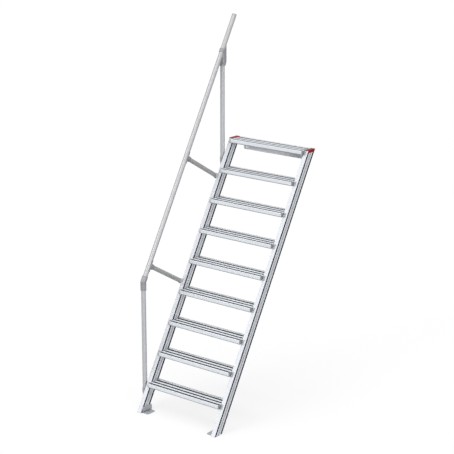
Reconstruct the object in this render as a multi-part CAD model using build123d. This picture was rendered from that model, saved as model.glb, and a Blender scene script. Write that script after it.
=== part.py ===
from build123d import *
import math
import os

os.makedirs("parts", exist_ok=True)

# All sizes are millimetres. X is to the right, Y is the climbing direction, Z is up.
# Pieces are drawn with X = 0 in the middle, Y = 0 at the front of the first tread
# and Z = 0 on the ground. They are written with the origin on the fixing rail.

# Cuts go this far past a face, and lines count as level within the tolerance
OVERCUT = 1.0
TOLERANCE = 0.01

# Stair
TREAD_COUNT = 9
RISE = 250.0
GOING = 147.0
CLEAR_WIDTH = 792.0

# Stiles
STILE_WIDTH = 40.0
STILE_DEPTH = 90.0
STILE_FLANGE = 3.0
STILE_WALL = 3.0
STILE_SLOT_WIDTH = 17.0
STILE_SLOT_DEPTH = 11.0
STILE_LINE_WIDTH = 6.0
STILE_LINE_DEPTH = 1.5
STILE_SETBACK = 42.0

# Stile caps
CAP_PLATE = 4.0
CAP_OVERHANG = 1.5
CAP_SKIRT = 20.0
CAP_RIM_RADIUS = 1.3

# Treads
TREAD_DEPTH = 160.0
TREAD_HEIGHT = 36.0
TREAD_WALL = 3.0
TREAD_NOSE_RADIUS = 2.0
TREAD_UNDER_RADIUS = 6.0
GROOVE_CENTRES = (23.0, 69.0, 115.0)
GROOVE_WIDTH = 23.0
GROOVE_DEPTH = 11.0
TOOTH_PITCH = 5.0
TOOTH_GAP = 2.0
TOOTH_DEPTH = 1.0
BAND_MARGIN = 3.0

# Tread brackets
END_PLATE = 4.0
TAB_WIDTH = 24.0
TAB_THICKNESS = 3.0

# Foot brackets
FOOT_SHEET = 6.0
FOOT_PLATE_WIDTH = 67.0
FOOT_PLATE_LENGTH = 100.0
FOOT_EAR_LENGTH = 122.0
FOOT_EAR_HEIGHT = 52.0
FOOT_EAR_RADIUS = 15.0
FOOT_PLATE_FRONT = -80.0
FOOT_PLATE_CORNER = 15.0
FOOT_HOLE_RADIUS = 6.5
FOOT_HOLE_INSET = 40.0

# Fixing rail behind the top tread
FIXING_LENGTH = 722.0
FIXING_HEIGHT = 105.0
FIXING_DROP = 113.0
FIXING_THICKNESS = 10.0
FIXING_RIB_DEPTH = 2.5
FIXING_HOLE_RADIUS = 8.5
FIXING_HOLE_INSET = 29.0
FIXING_HOLE_HEIGHT = 20.0

# Handrail tubes
TUBE_RADIUS = 21.0
STRUT_RADIUS = 20.0
TUBE_WALL = 2.0
RAIL_STANDOFF = 12.0
BEND_HEIGHT = 1167.2
LOWER_POST_Y = 44.5
UPPER_POST_INSET = 113.7028
RAIL_PAST_TEE = 340.0
STRUT_BELOW_POST = 166.0
LOWER_STRUT_ALONG = 152.946
POST_OVERRUN = 70.0
STRUT_OVERRUN = 22.0
PLUG_THICKNESS = 4.0

# Connectors on the tubes
CONNECTOR_WALL = 4.5
FIT_CLEARANCE = 0.05
ELBOW_LOWER_ARM = 73.0
ELBOW_UPPER_ARM = 52.0
ELBOW_CORE = 24.0
TEE_DROP = 142.0
TEE_COLLAR_LOW = 26.0
TEE_COLLAR_HIGH = 6.0
TEE_WEB_REACH = 38.0
TEE_WEB_WIDTH = 40.0
TEE_WEB_RISE = 52.0
TEE_WEB_CORNER = 6.5
TEE_CHAMFER = 45.0
TEE_POST_STOP = 84.0
TEE_SLIT_WIDTH = 8.0
TEE_SLIT_HEIGHT = 55.0
TEE_SLIT_DEPTH = 3.0
TEE_SLIT_TURN = 38.0
SADDLE_HALF_LENGTH = 52.0
SADDLE_WALL = 3.5
SADDLE_SOCKET = 52.0
STRUT_BRACKET_LENGTH = 70.0
STRUT_BRACKET_WIDTH = 56.0
POST_BRACKET_LENGTH = 110.0
BRACKET_CORNER = 8.0
BRACKET_COLLAR = 44.0
BRACKET_LIP_REACH = 15.0
BRACKET_LIP = 4.0
BRACKET_LIP_HEIGHT = 36.0

# Sizes that follow from the ones above
SLOPE = math.atan2(RISE, GOING)
ALONG = Vector(0, math.cos(SLOPE), math.sin(SLOPE))
ACROSS = Vector(0, math.sin(SLOPE), -math.cos(SLOPE))
INNER_FACE = CLEAR_WIDTH / 2
OUTER_FACE = INNER_FACE + STILE_WIDTH
STILE_MIDDLE = INNER_FACE + STILE_WIDTH / 2
TOP_HEIGHT = RISE * TREAD_COUNT
TOP_TREAD_Y = GOING * (TREAD_COUNT - 1)
STILE_RUN = STILE_DEPTH / math.sin(SLOPE)
RAIL_X = -(OUTER_FACE + RAIL_STANDOFF + TUBE_RADIUS)
FIXING_BACK_Y = TOP_TREAD_Y + TREAD_DEPTH + FIXING_THICKNESS
FIXING_BOTTOM = TOP_HEIGHT - FIXING_DROP
FIXING_MIDDLE = FIXING_BOTTOM + FIXING_HEIGHT / 2
FIXING_HOLE_X = FIXING_LENGTH / 2 - FIXING_HOLE_INSET
UPPER_POST_Y = STILE_SETBACK + TOP_TREAD_Y + STILE_RUN / 2 - UPPER_POST_INSET
TEE_ALONG = (UPPER_POST_Y - LOWER_POST_Y) / math.cos(SLOPE)
RAIL_LENGTH = TEE_ALONG + RAIL_PAST_TEE
FAR = 2 * (TOP_HEIGHT + TOP_TREAD_Y + CLEAR_WIDTH)


def stile_front(height):
    """Y of the front face of the stiles at this height."""
    return STILE_SETBACK + (height - RISE) * GOING / RISE


def stile_centre(height):
    """Y of the middle of the stiles at this height."""
    return stile_front(height) + STILE_RUN / 2


def height_on_centre(y):
    """Height at which the middle line of the stiles passes this Y."""
    return RISE + (y - STILE_SETBACK - STILE_RUN / 2) * RISE / GOING


def box_between(low, high):
    """Box between two corners."""
    size = [b - a for a, b in zip(low, high)]
    middle = [(a + b) / 2 for a, b in zip(low, high)]
    return Pos(*middle) * Box(*size)


def slab(points, x_low, x_high):
    """Outline in the YZ plane, pulled out from x_low to x_high."""
    outline = make_face(Plane.YZ * Polyline(*points, close=True))
    return extrude(Pos(x_low, 0, 0) * outline, amount=x_high - x_low, dir=(1, 0, 0))


def rod(start, end, radius):
    """Round bar from one point to another."""
    start = Vector(*start)
    axis = Vector(*end) - start
    place = Plane(origin=start, z_dir=axis)
    return extrude(place * Circle(radius), amount=axis.length)


def tube(start, end, radius, wall):
    """Round tube from one point to another."""
    return rod(start, end, radius) - rod(start, end, radius - wall)


def point_on_rail(along, sideways=0.0):
    """Point at a distance from the bend, and square to the rail towards the stile."""
    bend = Vector(RAIL_X, LOWER_POST_Y, BEND_HEIGHT)
    return bend + ALONG * along + ACROSS * sideways


# Stiles

def stile_outline():
    """Section of a stile with two deep slots and a middle line in both sides."""
    half_width = STILE_WIDTH / 2
    half_depth = STILE_DEPTH / 2
    slot = half_width - STILE_SLOT_DEPTH
    line = half_width - STILE_LINE_DEPTH
    flange = half_depth - STILE_FLANGE
    land = flange - STILE_SLOT_WIDTH
    half_line = STILE_LINE_WIDTH / 2
    right = [
        (half_width, half_depth),
        (half_width, flange),
        (slot, flange),
        (slot, land),
        (half_width, land),
        (half_width, half_line),
        (line, half_line),
        (line, -half_line),
        (half_width, -half_line),
        (half_width, -land),
        (slot, -land),
        (slot, -flange),
        (half_width, -flange),
        (half_width, -half_depth),
    ]
    left = [(-x, y) for x, y in reversed(right)]
    return make_face(Polyline(*right, *left, close=True))


def stile(side):
    """Stile on the left (-1) or on the right (1), cut level at both ends."""
    chamber_width = STILE_WIDTH - 2 * (STILE_LINE_DEPTH + STILE_WALL)
    land = STILE_DEPTH / 2 - STILE_FLANGE - STILE_SLOT_WIDTH
    chamber_depth = land - STILE_WALL * 3 / 2
    offset = (chamber_depth + STILE_WALL) / 2
    section = stile_outline()
    for direction in (-1, 1):
        section -= Pos(0, direction * offset) * Rectangle(chamber_width, chamber_depth)
    start_height = -STILE_DEPTH
    start = Vector(side * STILE_MIDDLE, stile_centre(start_height), start_height)
    length = (TOP_HEIGHT + 2 * STILE_DEPTH) / math.sin(SLOPE)
    place = Plane(origin=start, x_dir=(1, 0, 0), z_dir=ALONG)
    bar = extrude(place * section, amount=length)
    level = box_between((-FAR, -FAR, 0), (FAR, FAR, TOP_HEIGHT))
    return bar & level


def stile_cap(side):
    """Cap on a stile top, with a skirt down its outer side."""
    front = stile_front(TOP_HEIGHT)
    across = sorted((side * INNER_FACE, side * (OUTER_FACE + CAP_OVERHANG)))
    plate = box_between(
        (across[0], front - CAP_OVERHANG, TOP_HEIGHT),
        (across[1], front + STILE_RUN + CAP_OVERHANG, TOP_HEIGHT + CAP_PLATE),
    )
    plate = fillet(plate.edges().group_by(Axis.Z)[-1], CAP_RIM_RADIUS)
    low = TOP_HEIGHT - CAP_SKIRT
    flange_run = STILE_FLANGE / math.sin(SLOPE)
    outline = [
        (stile_front(low) + flange_run, low),
        (stile_front(low) + STILE_RUN - flange_run, low),
        (stile_front(TOP_HEIGHT) + STILE_RUN - flange_run, TOP_HEIGHT),
        (stile_front(TOP_HEIGHT) + flange_run, TOP_HEIGHT),
    ]
    depth = sorted((side * OUTER_FACE, side * (OUTER_FACE + CAP_OVERHANG)))
    return plate + slab(outline, depth[0], depth[1])


# Treads

def tread_bands():
    """Front and back of each raised band of a tread."""
    half = GROOVE_WIDTH / 2
    starts = [0.0] + [centre + half for centre in GROOVE_CENTRES]
    ends = [centre - half for centre in GROOVE_CENTRES] + [TREAD_DEPTH]
    return list(zip(starts, ends))


def tooth_starts(start, end):
    """Front edges of the small gaps across one band."""
    usable = end - start - 2 * BAND_MARGIN - TOOTH_GAP
    count = int(usable // TOOTH_PITCH) + 1
    first = (start + end - (count - 1) * TOOTH_PITCH - TOOTH_GAP) / 2
    return [first + TOOTH_PITCH * number for number in range(count)]


def tread_outline():
    """Outer outline of a tread, from the front top corner to the back."""
    points = []
    bands = tread_bands()
    for number, (start, end) in enumerate(bands):
        points.append((start, 0.0))
        for gap in tooth_starts(start, end):
            points.append((gap, 0.0))
            points.append((gap, -TOOTH_DEPTH))
            points.append((gap + TOOTH_GAP, -TOOTH_DEPTH))
            points.append((gap + TOOTH_GAP, 0.0))
        points.append((end, 0.0))
        if number < len(bands) - 1:
            points.append((end, -GROOVE_DEPTH))
            points.append((bands[number + 1][0], -GROOVE_DEPTH))
    points.append((TREAD_DEPTH, -TREAD_HEIGHT))
    points.append((0.0, -TREAD_HEIGHT))
    return points


def tread_chambers():
    """Hollow chambers under the bands and under the grooves."""
    half_wall = TREAD_WALL / 2
    bottom = -TREAD_HEIGHT + TREAD_WALL
    chambers = []
    for start, end in tread_bands():
        front = start + (TREAD_WALL if start == 0.0 else half_wall)
        back = end - (TREAD_WALL if end == TREAD_DEPTH else half_wall)
        chambers.append((front, back, bottom, -TREAD_WALL - TOOTH_DEPTH))
    for centre in GROOVE_CENTRES:
        front = centre - GROOVE_WIDTH / 2 + half_wall
        back = centre + GROOVE_WIDTH / 2 - half_wall
        chambers.append((front, back, bottom, -GROOVE_DEPTH - TREAD_WALL))
    return chambers


def tread_at_origin():
    """One tread extrusion with its front top edge on the X axis."""
    half = INNER_FACE - END_PLATE
    body = slab(tread_outline(), -half, half)
    for level, radius in ((0.0, TREAD_NOSE_RADIUS), (-TREAD_HEIGHT, TREAD_UNDER_RADIUS)):
        nose = [
            edge
            for edge in body.edges().filter_by(Axis.X)
            if abs(edge.center().Y) < TOLERANCE and abs(edge.center().Z - level) < TOLERANCE
        ]
        body = fillet(nose, radius)
    for front, back, low, high in tread_chambers():
        body -= box_between((-half, front, low), (half, back, high))
    return body


def tread_bracket(side):
    """End plate of a tread with its tab on the stile front."""
    outline = [
        (0.0, 0.0),
        (TREAD_DEPTH, 0.0),
        (TREAD_DEPTH, -TREAD_HEIGHT),
        (0.0, -TREAD_HEIGHT),
    ]
    across = sorted((side * (INNER_FACE - END_PLATE), side * INNER_FACE))
    plate = slab(outline, across[0], across[1])
    run = TAB_THICKNESS / math.sin(SLOPE)
    low_front = STILE_SETBACK - TREAD_HEIGHT * GOING / RISE
    tab_outline = [
        (STILE_SETBACK - run, 0.0),
        (STILE_SETBACK, 0.0),
        (low_front, -TREAD_HEIGHT),
        (low_front - run, -TREAD_HEIGHT),
    ]
    tab_across = sorted((side * INNER_FACE, side * (INNER_FACE + TAB_WIDTH)))
    tab = slab(tab_outline, tab_across[0], tab_across[1])
    return plate + tab


def tread_place(number):
    """Place of a tread, counted from 0 at the bottom."""
    return Pos(0, GOING * number, RISE * (number + 1))


# Feet and fixing rail

def foot_bracket(side):
    """Angle at a stile foot: an ear on the stile and a plate on the ground."""
    front = FOOT_PLATE_FRONT
    ear_across = sorted((side * (INNER_FACE - FOOT_SHEET), side * INNER_FACE))
    ear = box_between(
        (ear_across[0], front, 0),
        (ear_across[1], front + FOOT_EAR_LENGTH, FOOT_EAR_HEIGHT),
    )
    corners = ear.edges().filter_by(Axis.X).group_by(Axis.Z)[-1]
    ear = fillet(corners, FOOT_EAR_RADIUS)
    plate_across = sorted((side * (INNER_FACE - FOOT_PLATE_WIDTH), side * INNER_FACE))
    plate = box_between(
        (plate_across[0], front, 0),
        (plate_across[1], front + FOOT_PLATE_LENGTH, FOOT_SHEET),
    )
    free_corners = plate.edges().filter_by(Axis.Z).sort_by(lambda edge: abs(edge.center().X))[:2]
    plate = fillet(free_corners, FOOT_PLATE_CORNER)
    middle_y = front + FOOT_PLATE_LENGTH / 2
    hole_x = side * (INNER_FACE - FOOT_HOLE_INSET)
    hole = rod(
        (hole_x, middle_y, -OVERCUT),
        (hole_x, middle_y, FOOT_SHEET + OVERCUT),
        FOOT_HOLE_RADIUS,
    )
    return ear + plate - hole


def fixing_rail():
    """Ribbed bar behind the top tread with a bolt hole near each end."""
    back = FIXING_BACK_Y
    front = back - FIXING_THICKNESS
    third = FIXING_HEIGHT / 3
    outline = [(back, FIXING_BOTTOM), (back, FIXING_BOTTOM + FIXING_HEIGHT)]
    outline.append((front, FIXING_BOTTOM + FIXING_HEIGHT))
    for level in (2, 1):
        height = FIXING_BOTTOM + third * level
        outline.append((front, height + FIXING_RIB_DEPTH))
        outline.append((front + FIXING_RIB_DEPTH, height + FIXING_RIB_DEPTH))
        outline.append((front + FIXING_RIB_DEPTH, height - FIXING_RIB_DEPTH))
        outline.append((front, height - FIXING_RIB_DEPTH))
    outline.append((front, FIXING_BOTTOM))
    bar = slab(outline, -FIXING_LENGTH / 2, FIXING_LENGTH / 2)
    height = FIXING_BOTTOM + FIXING_HOLE_HEIGHT
    for side in (-1, 1):
        x = side * FIXING_HOLE_X
        bar -= rod(
            (x, front - OVERCUT, height),
            (x, back + OVERCUT, height),
            FIXING_HOLE_RADIUS,
        )
    return bar


# Handrail

def post_bottom(y):
    """Height of the lower end of a post at this Y."""
    return height_on_centre(y) - POST_OVERRUN


def plug(at, towards):
    """Plug that closes a tube end."""
    end = Vector(*at) + Vector(*towards).normalized() * PLUG_THICKNESS
    return rod(at, end, TUBE_RADIUS)


def elbow():
    """Elbow sleeve with a mitred bend between the handrail and the lower post."""
    radius = TUBE_RADIUS + CONNECTOR_WALL
    bore = TUBE_RADIUS + FIT_CLEARANCE
    bend = point_on_rail(0)
    up = Vector(0, 0, 1)
    lower = bend - up * ELBOW_LOWER_ARM
    upper = point_on_rail(ELBOW_UPPER_ARM)
    mitre = Plane(origin=bend, x_dir=(1, 0, 0), z_dir=up + ALONG)
    above = mitre * Pos(0, 0, FAR / 2) * Box(FAR, FAR, FAR)
    body = rod(lower, bend + up * radius, radius) - above
    body += rod(point_on_rail(-radius), upper, radius) & above
    body -= rod(lower, bend - up * ELBOW_CORE, bore)
    body -= rod(point_on_rail(ELBOW_CORE), upper, bore)
    return body


def tee():
    """Clamp connector between the upper post and the handrail, drawn around its joint."""
    radius = TUBE_RADIUS + CONNECTOR_WALL
    bore = TUBE_RADIUS + FIT_CLEARANCE
    up = Vector(0, 0, 1)
    bottom = up * -TEE_DROP
    body = rod(bottom, (0, 0, 0), radius)
    body += rod(ALONG * -TEE_COLLAR_LOW, ALONG * TEE_COLLAR_HIGH, radius)
    outline = [
        (0, -TEE_DROP),
        (TUBE_RADIUS, -TEE_DROP),
        (TEE_WEB_REACH, TEE_CHAMFER - TEE_DROP),
        (TEE_WEB_REACH, TEE_WEB_RISE),
        (0, 0),
    ]
    half = TEE_WEB_WIDTH / 2
    web = slab(outline, -half, half)
    body += fillet(web.edges().filter_by(Axis.Z).group_by(Axis.Y)[-1], TEE_WEB_CORNER)
    body -= rod(bottom, up * -TEE_POST_STOP, bore)
    body -= rod(ALONG * -TEE_DROP, ALONG * TEE_DROP, bore)
    place = Pos(0, 0, TEE_CHAMFER - TEE_DROP) * Rot(0, 0, TEE_SLIT_TURN) * Pos(0, -radius, 0)
    body -= place * Box(TEE_SLIT_WIDTH, 2 * TEE_SLIT_DEPTH, TEE_SLIT_HEIGHT)
    joint = point_on_rail(TEE_ALONG)
    return Pos(joint.X, joint.Y, joint.Z) * body


def saddle(along):
    """Half shell on the handrail with a socket for a strut."""
    radius = TUBE_RADIUS + SADDLE_WALL
    bore = TUBE_RADIUS + FIT_CLEARANCE
    socket_radius = STRUT_RADIUS + SADDLE_WALL
    start = point_on_rail(along - SADDLE_HALF_LENGTH)
    end = point_on_rail(along + SADDLE_HALF_LENGTH)
    shell = rod(start, end, radius)
    place = Plane(origin=point_on_rail(along, radius), x_dir=(1, 0, 0), z_dir=ALONG)
    keep = place * Box(4 * radius, 2 * radius, 4 * SADDLE_HALF_LENGTH)
    shell = shell & keep
    body = shell + rod(point_on_rail(along), point_on_rail(along, SADDLE_SOCKET), socket_radius)
    body -= rod(point_on_rail(0), point_on_rail(RAIL_LENGTH), bore)
    strut_bore = STRUT_RADIUS + FIT_CLEARANCE
    body -= rod(
        point_on_rail(along, bore + SADDLE_WALL),
        point_on_rail(along, SADDLE_SOCKET + OVERCUT),
        strut_bore,
    )
    return body


def upper_strut_along():
    """Place of the upper strut on the handrail, set by the foot of the upper post."""
    foot_y = UPPER_POST_Y - LOWER_POST_Y
    foot_z = height_on_centre(UPPER_POST_Y) - BEND_HEIGHT
    return foot_y * math.cos(SLOPE) + foot_z * math.sin(SLOPE) - STRUT_BELOW_POST


def stile_distance():
    """Distance from the handrail axis to the middle line of the stiles."""
    gap = stile_centre(BEND_HEIGHT) - LOWER_POST_Y
    return gap * math.sin(SLOPE)


def strut(along):
    """Strut tube from its socket on the handrail to its bracket on the stile."""
    start = point_on_rail(along, TUBE_RADIUS + FIT_CLEARANCE + SADDLE_WALL)
    end = point_on_rail(along, stile_distance() + STRUT_OVERRUN)
    return tube(start, end, STRUT_RADIUS, TUBE_WALL)


def strut_bracket(along):
    """Plate and collar at the stile end of a strut, with a lip on the stile front."""
    reach = stile_distance()
    middle = point_on_rail(along, reach)
    front = point_on_rail(along, reach - STILE_DEPTH / 2)
    radius = STRUT_RADIUS + SADDLE_WALL
    plate_place = Plane(
        origin=(-OUTER_FACE - RAIL_STANDOFF / 2, middle.Y, middle.Z),
        x_dir=ALONG,
        z_dir=(1, 0, 0),
    )
    plate = extrude(
        plate_place * RectangleRounded(STRUT_BRACKET_LENGTH, STRUT_BRACKET_WIDTH, BRACKET_CORNER),
        amount=RAIL_STANDOFF / 2,
        both=True,
    )
    half_collar = BRACKET_COLLAR / 2
    collar = rod(
        point_on_rail(along, reach - half_collar),
        point_on_rail(along, reach + half_collar),
        radius,
    )
    limit = box_between(
        (RAIL_X - 2 * radius, middle.Y - STILE_DEPTH, middle.Z - STILE_DEPTH),
        (-OUTER_FACE, middle.Y + STILE_DEPTH, middle.Z + STILE_DEPTH),
    )
    lip_middle = Vector(front.X, front.Y, front.Z) - ACROSS * (BRACKET_LIP / 2)
    lip_low = -OUTER_FACE - RAIL_STANDOFF
    lip_high = -OUTER_FACE + BRACKET_LIP_REACH
    lip_place = Plane(
        origin=((lip_low + lip_high) / 2, lip_middle.Y, lip_middle.Z),
        x_dir=(1, 0, 0),
        z_dir=ALONG,
    )
    lip = lip_place * Box(lip_high - lip_low, BRACKET_LIP, BRACKET_LIP_HEIGHT)
    arm_length = STILE_DEPTH / 2 + BRACKET_LIP
    arm_middle = point_on_rail(along, reach - arm_length / 2)
    arm_place = Plane(
        origin=(-OUTER_FACE - RAIL_STANDOFF / 2, arm_middle.Y, arm_middle.Z),
        x_dir=(1, 0, 0),
        z_dir=ALONG,
    )
    arm = arm_place * Box(RAIL_STANDOFF, arm_length, BRACKET_LIP_HEIGHT)
    body = plate + (collar & limit) + arm + lip
    inside = rod(
        point_on_rail(along, reach - STILE_DEPTH),
        point_on_rail(along, reach + STILE_DEPTH),
        STRUT_RADIUS + FIT_CLEARANCE,
    )
    return body - inside


def post_bracket(y):
    """Plate and collar that hold a post on the side of the stile."""
    height = height_on_centre(y)
    radius = TUBE_RADIUS + SADDLE_WALL
    plate_place = Plane(
        origin=(-OUTER_FACE - RAIL_STANDOFF / 2, y, height),
        x_dir=ALONG,
        z_dir=(1, 0, 0),
    )
    plate = extrude(
        plate_place * RectangleRounded(POST_BRACKET_LENGTH, STRUT_BRACKET_WIDTH, BRACKET_CORNER),
        amount=RAIL_STANDOFF / 2,
        both=True,
    )
    half_collar = BRACKET_COLLAR / 2
    collar = rod((RAIL_X, y, height - half_collar), (RAIL_X, y, height + half_collar), radius)
    limit = box_between(
        (RAIL_X - 2 * radius, y - STILE_DEPTH, height - STILE_DEPTH),
        (-OUTER_FACE, y + STILE_DEPTH, height + STILE_DEPTH),
    )
    inside = rod(
        (RAIL_X, y, height - STILE_DEPTH),
        (RAIL_X, y, height + STILE_DEPTH),
        TUBE_RADIUS + FIT_CLEARANCE,
    )
    return plate + (collar & limit) - inside


nodes = {}
nodes["left_stile"] = stile(-1)
nodes["right_stile"] = stile(1)
nodes["left_stile_cap"] = stile_cap(-1)
nodes["right_stile_cap"] = stile_cap(1)

tread = tread_at_origin()
for number in range(TREAD_COUNT):
    name = "top_tread" if number == TREAD_COUNT - 1 else "tread_%d" % (number + 1)
    nodes[name] = tread_place(number) * tread

for side, name in ((-1, "left_tread_brackets"), (1, "right_tread_brackets")):
    bracket = tread_bracket(side)
    nodes[name] = Compound([tread_place(number) * bracket for number in range(TREAD_COUNT)])

nodes["left_foot_bracket"] = foot_bracket(-1)
nodes["right_foot_bracket"] = foot_bracket(1)
nodes["fixing_rail"] = fixing_rail()

rail_end = point_on_rail(RAIL_LENGTH)
nodes["handrail_tube"] = tube(point_on_rail(ELBOW_CORE), rail_end, TUBE_RADIUS, TUBE_WALL)
nodes["handrail_plug"] = plug(rail_end, ALONG)
nodes["elbow_connector"] = elbow()

lower_post_low = (RAIL_X, LOWER_POST_Y, post_bottom(LOWER_POST_Y))
lower_post_high = (RAIL_X, LOWER_POST_Y, BEND_HEIGHT - ELBOW_CORE)
nodes["lower_post"] = tube(lower_post_low, lower_post_high, TUBE_RADIUS, TUBE_WALL)

tee_height = BEND_HEIGHT + (UPPER_POST_Y - LOWER_POST_Y) * math.tan(SLOPE)
upper_post_low = (RAIL_X, UPPER_POST_Y, post_bottom(UPPER_POST_Y))
upper_post_high = (RAIL_X, UPPER_POST_Y, tee_height - TEE_POST_STOP)
nodes["upper_post"] = tube(upper_post_low, upper_post_high, TUBE_RADIUS, TUBE_WALL)
down = (0, 0, -1)
nodes["post_plugs"] = Compound([plug(lower_post_low, down), plug(upper_post_low, down)])
nodes["tee_connector"] = tee()

upper_along = upper_strut_along()
for name, along in (("lower", LOWER_STRUT_ALONG), ("upper", upper_along)):
    nodes[name + "_strut"] = strut(along)
    nodes[name + "_saddle"] = saddle(along)
    nodes[name + "_strut_bracket"] = strut_bracket(along)

nodes["lower_post_bracket"] = post_bracket(LOWER_POST_Y)
nodes["upper_post_bracket"] = post_bracket(UPPER_POST_Y)

to_origin = Pos(0, -FIXING_BACK_Y, -FIXING_MIDDLE)
for name, shape in nodes.items():
    placed = to_origin * shape
    solids = placed.solids()
    if not solids:
        raise RuntimeError("no solid in " + name)
    placed = solids[0] if len(solids) == 1 else Compound(list(solids))
    export_step(placed, os.path.join("parts", name + ".step"))
    box = placed.bounding_box()
    print(
        "%-22s solids %d  x %.1f %.1f  y %.1f %.1f  z %.1f %.1f"
        % (
            name,
            len(solids),
            box.min.X,
            box.max.X,
            box.min.Y,
            box.max.Y,
            box.min.Z,
            box.max.Z,
        )
    )
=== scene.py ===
import math

import bpy
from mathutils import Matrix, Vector


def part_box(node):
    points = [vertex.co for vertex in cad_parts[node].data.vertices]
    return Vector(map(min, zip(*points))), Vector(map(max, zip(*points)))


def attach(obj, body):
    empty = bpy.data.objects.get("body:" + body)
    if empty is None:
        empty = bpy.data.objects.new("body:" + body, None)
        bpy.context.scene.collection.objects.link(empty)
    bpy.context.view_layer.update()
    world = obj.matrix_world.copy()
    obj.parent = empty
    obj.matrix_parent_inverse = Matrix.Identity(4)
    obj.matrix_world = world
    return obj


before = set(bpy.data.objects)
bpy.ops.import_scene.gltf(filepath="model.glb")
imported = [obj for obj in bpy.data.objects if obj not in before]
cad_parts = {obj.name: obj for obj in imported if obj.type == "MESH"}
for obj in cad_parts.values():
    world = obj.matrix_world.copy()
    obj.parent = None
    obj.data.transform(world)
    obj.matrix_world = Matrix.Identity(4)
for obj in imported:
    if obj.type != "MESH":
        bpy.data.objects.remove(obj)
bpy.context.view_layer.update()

bl_info = {
    "name": "Industrial Stair",
    "version": (1, 0, 0),
    "blender": (4, 5, 0),
    "location": "View3D > Sidebar > Stair",
    "description": "Adds the fasteners, welds and finishes of an aluminium stair with one handrail",
    "category": "Object",
}

SEED = 11

# Groups of nodes
TREADS = ["tread_%d" % number for number in range(1, 9)] + ["top_tread"]
STILES = ["left_stile", "right_stile"]
TREAD_BRACKETS = ["left_tread_brackets", "right_tread_brackets"]
FEET = ["left_foot_bracket", "right_foot_bracket"]
POSTS = ["lower_post", "upper_post"]
STRUTS = ["lower_strut", "upper_strut"]
RAIL_BRACKETS = [name + "_bracket" for name in STRUTS + POSTS]
CONNECTORS = ["elbow_connector", "tee_connector", "lower_saddle", "upper_saddle"]
CAPS = ["left_stile_cap", "right_stile_cap"]
PLUGS = ["handrail_plug", "post_plugs"]

# Places read from the nodes, in metres
FIRST_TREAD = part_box("tread_1")
SECOND_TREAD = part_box("tread_2")
GOING = SECOND_TREAD[0].y - FIRST_TREAD[0].y
RISE = SECOND_TREAD[1].z - FIRST_TREAD[1].z
SLOPE = math.atan2(RISE, GOING)
RIGHT_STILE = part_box("right_stile")
INNER_FACE = RIGHT_STILE[0].x
OUTER_FACE = RIGHT_STILE[1].x
GROUND = RIGHT_STILE[0].z
STILE_HEIGHT = RIGHT_STILE[1].z - RIGHT_STILE[0].z
STILE_RUN = RIGHT_STILE[1].y - RIGHT_STILE[0].y - STILE_HEIGHT * GOING / RISE
RAIL_X = (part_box("handrail_tube")[0].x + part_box("handrail_tube")[1].x) / 2

# Directions: along the slope, square to it, up, and away from and towards the steps at the handrail
ALONG = Vector((0.0, math.cos(SLOPE), math.sin(SLOPE)))
ACROSS = Vector((0.0, math.sin(SLOPE), -math.cos(SLOPE)))
UP = Vector((0.0, 0.0, 1.0))
OUTSIDE = Vector((-1.0, 0.0, 0.0))
INSIDE = Vector((1.0, 0.0, 0.0))

# Sizes that the boxes don't give, in metres
TAB_WIDTH = 0.024
TAB_THICKNESS = 0.003
TREAD_HEIGHT = 0.036
REAR_BAND = 0.126
FOOT_SHEET = 0.006
ELBOW_LOWER_ARM = 0.073
ELBOW_UPPER_ARM = 0.052
TEE_DROP = 0.142
TEE_COLLAR_HIGH = 0.006
CONNECTOR_RADIUS = 0.0255
TUBE_RADIUS = 0.021
SADDLE_RADIUS = 0.0245
SADDLE_SOCKET = 0.052
SOCKET_RADIUS = 0.0235

# Places of the fasteners and welds, in metres
TAB_SCREW_STEP = 0.011
STRUT_SCREW_ALONG = 0.029
STRUT_SCREW_ACROSS = 0.017
SADDLE_SCREW_ALONG = 0.038
POST_SCREW_ALONG = 0.045
POST_SCREW_ACROSS = 0.018
ELBOW_SCREW_DROP = 0.052
ELBOW_SCREW_RISE = 0.036
TEE_SCREW_DROPS = (0.08, 0.125)
FOOT_BOLT_HEIGHT = 0.024
WELD_LENGTH = 0.07
WELD_INSET = 0.03
WELD_COUNT = 5
RIPPLE_LENGTH = 0.004

# Shares of another size
FOOT_BOLT_SHARES = (0.27, 0.73)
GRUB_SUNK = 0.35
GRUB_HEIGHT = 0.6
RIM_SUNK = 0.2

# Camera, fitted to the photograph
CAMERA_PLACE = (7.3427, -10.0726, 2.8439)
CAMERA_AZIMUTH = 38.138
CAMERA_ELEVATION = 16.031
CAMERA_LENS = 112.55
CAMERA_SENSOR = 36.0
CAMERA_NEAR = 0.1
CAMERA_FAR = 1000.0

# Floor and room; the floor's grey and its glow add up to white
FLOOR_GREY = 0.22
FLOOR_GLOW = 1.0 - FLOOR_GREY
ROOM_COLOUR = (0.97, 0.985, 1.0, 1.0)
WHITE = (1.0, 1.0, 1.0, 1.0)


# Values a user may change

def colour_setting(name, default, description):
    """Colour of a finish."""
    return bpy.props.FloatVectorProperty(
        name=name,
        description=description,
        default=default,
        min=0.0,
        max=1.0,
        subtype="COLOR",
    )


def length_setting(name, default, low, high, description):
    """Length in metres."""
    return bpy.props.FloatProperty(
        name=name,
        description=description,
        default=default,
        min=low,
        max=high,
        subtype="DISTANCE",
        unit="LENGTH",
    )


def light_setting(name, default, high, description):
    """Strength of a light, where 1 is plain white light."""
    return bpy.props.FloatProperty(
        name=name,
        description=description,
        default=default,
        min=0.0,
        max=high,
    )


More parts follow.
